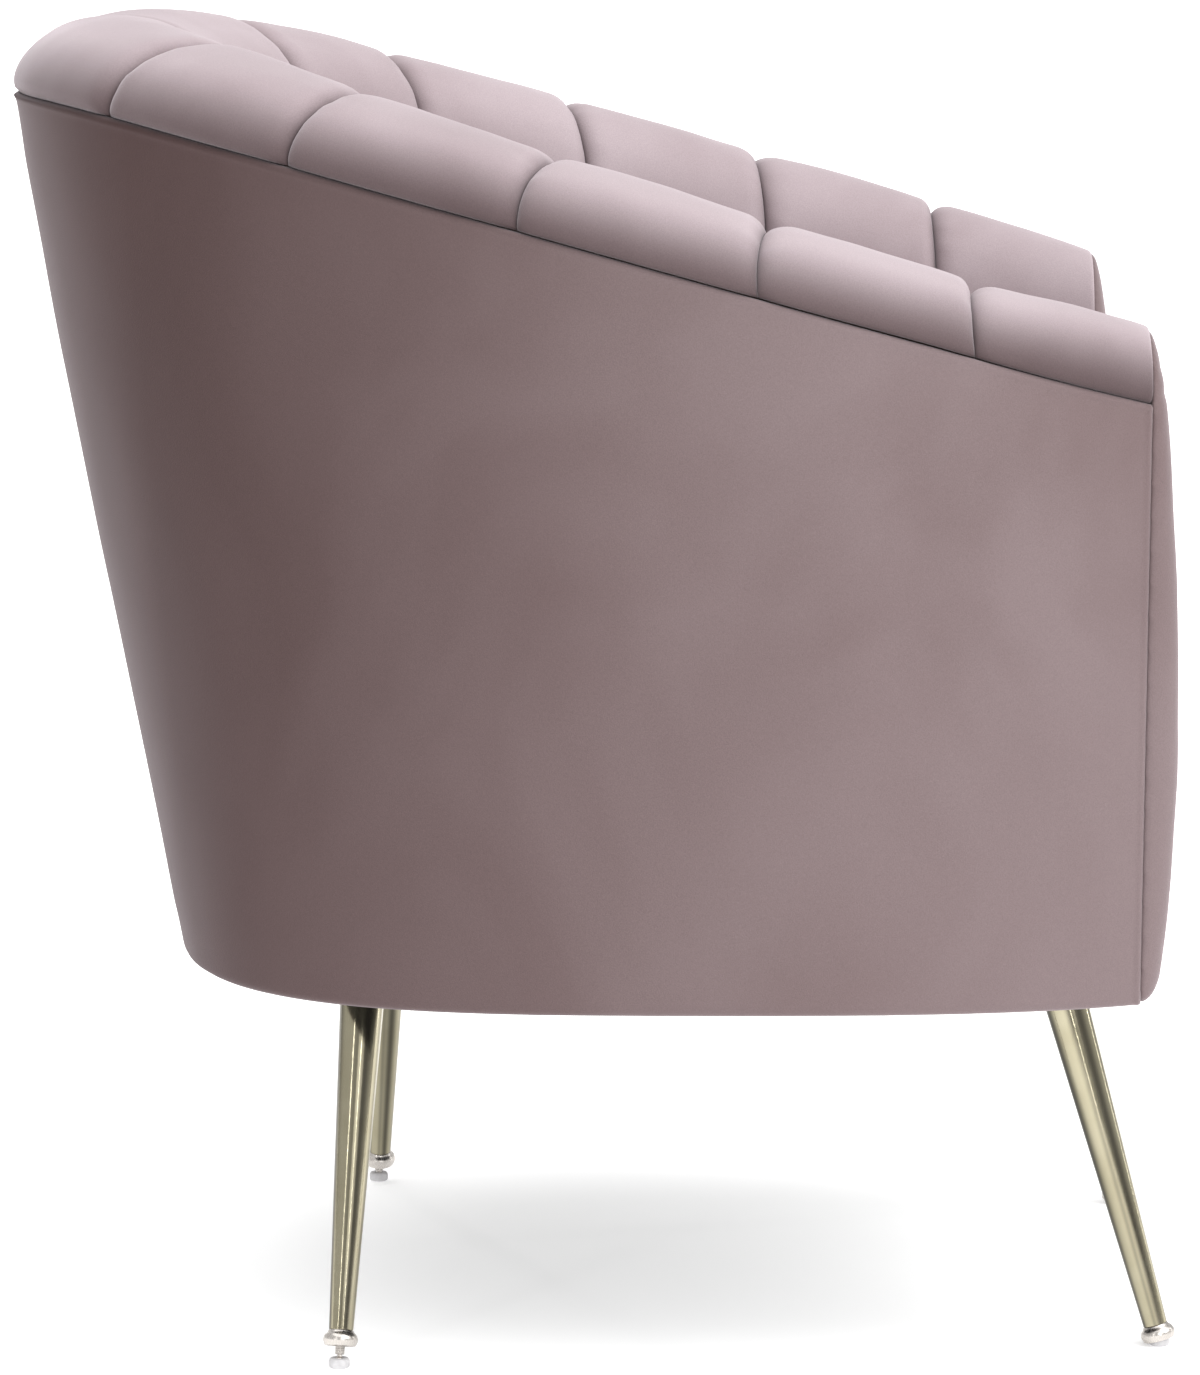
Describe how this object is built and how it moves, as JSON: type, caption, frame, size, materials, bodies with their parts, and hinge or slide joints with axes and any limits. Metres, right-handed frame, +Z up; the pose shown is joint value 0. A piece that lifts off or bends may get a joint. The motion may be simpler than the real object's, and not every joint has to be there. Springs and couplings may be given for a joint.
{
  "type": "tub armchair",
  "caption": "Low tub armchair with a vertically channelled velvet back and arms in one sloping curve, on splayed tapered metal legs with screw levellers.",
  "frame": {"origin": "on the floor, under the middle of the chair's outline", "axes": "the chair faces -Y, +X is to the sitter's left, and +Z is up"},
  "size_m": [0.7612, 0.7154, 0.79],
  "materials": {
    "velvet": "short-pile velvet, dusty mauve",
    "plywood": "sawn plywood",
    "hardwood": "sawn hardwood",
    "fibreboard": "smooth board",
    "spring_steel": "drawn wire",
    "lining": "non-woven cloth",
    "wadding": "soft wadding",
    "brass": "polished, champagne gold",
    "steel": "bright zinc plate",
    "glide": "pale moulded plastic"
  },
  "bodies": {
    "chair": {"base_ring": "plywood", "seat_ring": "plywood", "front_board": "plywood", "arm_panel_left": "plywood", "arm_panel_right": "plywood", "wall_rib_1": "plywood", "wall_rib_2": "plywood", "wall_rib_3": "plywood", "wall_rib_4": "plywood", "wall_rib_5": "plywood", "wall_rib_6": "plywood", "wall_rib_7": "plywood", "top_rail": "plywood", "leg_blocks": "hardwood", "seat_springs": "spring_steel", "spring_clips": "spring_steel", "deck_cloth": "lining", "deck_pad": "wadding", "dust_cover": "lining", "shell_board": "fibreboard", "outside_cover": "velvet", "edge_welt": "velvet", "channel_01": "velvet", "channel_02": "velvet", "channel_03": "velvet", "channel_04": "velvet", "channel_05": "velvet", "channel_06": "velvet", "channel_07": "velvet", "channel_08": "velvet", "channel_09": "velvet", "channel_10": "velvet", "channel_11": "velvet", "channel_12": "velvet", "arm_facing_left": "velvet", "arm_facing_right": "velvet", "front_apron": "velvet", "seat_cushion": "velvet", "plate_screws": "steel", "leg_plate_front_left": "steel", "leg_tube_front_left": "brass", "foot_cup_front_left": "steel", "leg_plate_front_right": "steel", "leg_tube_front_right": "brass", "foot_cup_front_right": "steel", "leg_plate_rear_left": "steel", "leg_tube_rear_left": "brass", "foot_cup_rear_left": "steel", "leg_plate_rear_right": "steel", "leg_tube_rear_right": "brass", "foot_cup_rear_right": "steel"},
    "leveller_front_left": {"leveller_stud_front_left": "steel", "leveller_pad_front_left": "glide"},
    "leveller_front_right": {"leveller_stud_front_right": "steel", "leveller_pad_front_right": "glide"},
    "leveller_rear_left": {"leveller_stud_rear_left": "steel", "leveller_pad_rear_left": "glide"},
    "leveller_rear_right": {"leveller_stud_rear_right": "steel", "leveller_pad_rear_right": "glide"}
  },
  "joints": [
    {"name": "level_front_left", "type": "slide", "parent": "chair", "child": "leveller_front_left", "axis": [0.0878, -0.2701, -0.9588], "range_m": [0, 0.015]},
    {"name": "level_front_right", "type": "slide", "parent": "chair", "child": "leveller_front_right", "axis": [-0.0878, -0.2701, -0.9588], "range_m": [0, 0.015]},
    {"name": "level_rear_left", "type": "slide", "parent": "chair", "child": "leveller_rear_left", "axis": [0.2788, 0.0542, -0.9588], "range_m": [-0.0075, 0.007]},
    {"name": "level_rear_right", "type": "slide", "parent": "chair", "child": "leveller_rear_right", "axis": [-0.2788, 0.0542, -0.9588], "range_m": [-0.0075, 0.007]}
  ]
}
